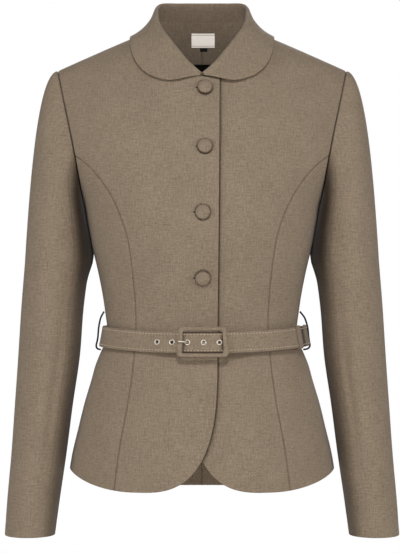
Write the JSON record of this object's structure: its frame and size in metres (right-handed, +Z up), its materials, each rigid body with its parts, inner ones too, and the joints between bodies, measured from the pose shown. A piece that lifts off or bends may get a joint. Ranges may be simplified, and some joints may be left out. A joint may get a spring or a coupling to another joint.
{
  "type": "belted jacket",
  "caption": "Short fitted jacket with a rounded collar, covered buttons, princess seams and a self-fabric belt with eyelets and a buckle; hollow as worn, open at neck, cuffs and hem.",
  "frame": {"origin": "between the shoulders, on the centre plane, level with the root of the neck, where the jacket is carried by what wears or holds it", "axes": "+Z up towards the collar, -Y towards the buttoned front, -X towards the wearer's right sleeve"},
  "size_m": [0.527, 0.2714, 0.7196],
  "materials": {
    "suiting": "taupe-brown plain-weave suiting, matt, slightly flecked",
    "lining": "black lining twill, slightly glossy",
    "dark_thread": "near-black twisted sewing thread",
    "label": "blank off-white woven ribbon",
    "steel": "pale plated steel"
  },
  "bodies": {
    "root": {"front_right": "suiting", "front_left": "suiting", "side_front_right": "suiting", "side_front_left": "suiting", "back_right": "suiting", "back_left": "suiting", "side_back_right": "suiting", "side_back_left": "suiting", "sleeve_top_right": "suiting", "sleeve_top_left": "suiting", "sleeve_under_right": "suiting", "sleeve_under_left": "suiting", "collar": "suiting", "button_1": "suiting", "button_2": "suiting", "button_3": "suiting", "button_4": "suiting", "belt": "suiting", "belt_keeper": "suiting", "buckle_frame": "suiting", "buckle_bar": "steel", "buckle_prong": "steel", "eyelet_1": "steel", "eyelet_2": "steel", "eyelet_3": "steel", "eyelet_4": "steel", "eyelet_5": "steel", "belt_loop_right": "dark_thread", "belt_loop_left": "dark_thread", "back_facing": "suiting", "lining_back": "lining", "label": "label", "size_tab": "lining"}
  },
  "joints": []
}
